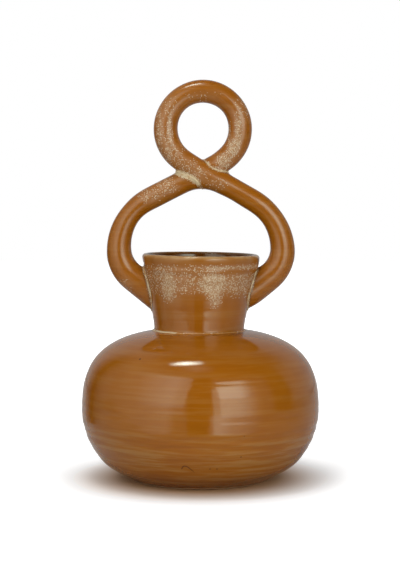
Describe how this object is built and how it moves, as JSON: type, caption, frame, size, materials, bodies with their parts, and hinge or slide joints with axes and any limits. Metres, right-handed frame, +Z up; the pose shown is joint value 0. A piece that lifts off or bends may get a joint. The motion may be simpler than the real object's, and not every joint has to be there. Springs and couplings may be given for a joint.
{
  "type": "vase",
  "caption": "Round glazed ceramic vase with a flared neck and a coil handle that crosses itself over the mouth and closes in a loop.",
  "frame": {"origin": "centre of the foot ring's underside, on the surface that the vase stands on", "axes": "+Z up through the mouth, +X to the right in the handle's plane, -Y towards the viewer of the picture"},
  "size_m": [0.18, 0.18, 0.3028],
  "materials": {
    "amber_glaze": "gloss",
    "cream_slip": "satin"
  },
  "bodies": {
    "root": {"thrown_body": "amber_glaze", "thrown_neck": "amber_glaze", "coil_handle": "amber_glaze", "neck_seam_slip": "cream_slip", "right_root_slip": "cream_slip", "left_root_slip": "cream_slip", "crossing_slip": "cream_slip"}
  },
  "joints": []
}
